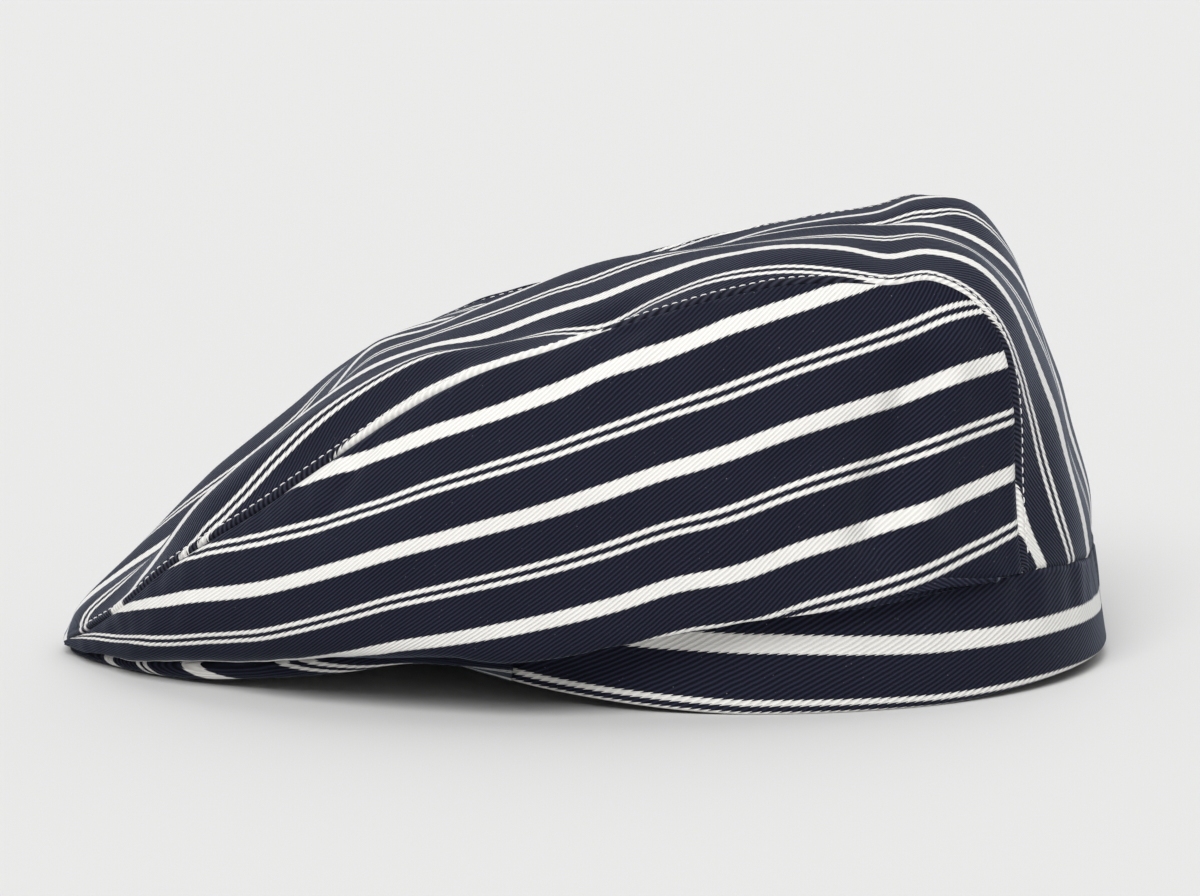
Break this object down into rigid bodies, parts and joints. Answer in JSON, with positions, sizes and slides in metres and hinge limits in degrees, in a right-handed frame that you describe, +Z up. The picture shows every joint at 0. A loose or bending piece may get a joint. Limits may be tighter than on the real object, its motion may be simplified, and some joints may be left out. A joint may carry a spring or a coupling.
{
  "type": "chef beret",
  "caption": "Butcher-striped cotton chef's beret shaped like a flat cap, with a full crown, a sewn-down peak and a plain head band.",
  "frame": {"origin": "on the table under the middle of the hat's length and width, at the bottom of the head band", "axes": "+X towards the back of the head, +Y towards the wearer's right, +Z up out of the crown"},
  "size_m": [0.2789, 0.1754, 0.1178],
  "materials": {
    "crown_cloth": "navy cotton twill with cream butcher stripes, one wide stripe alternating with a pair of thin ones",
    "band_cloth": "the same striped navy twill, folded double and pressed",
    "peak_cloth": "the same striped navy twill over a firm peak, stripes running across it"
  },
  "bodies": {
    "root": {"top_panel": "crown_cloth", "side_panel_left": "crown_cloth", "side_panel_right": "crown_cloth", "head_band": "band_cloth", "peak": "peak_cloth"}
  },
  "joints": []
}
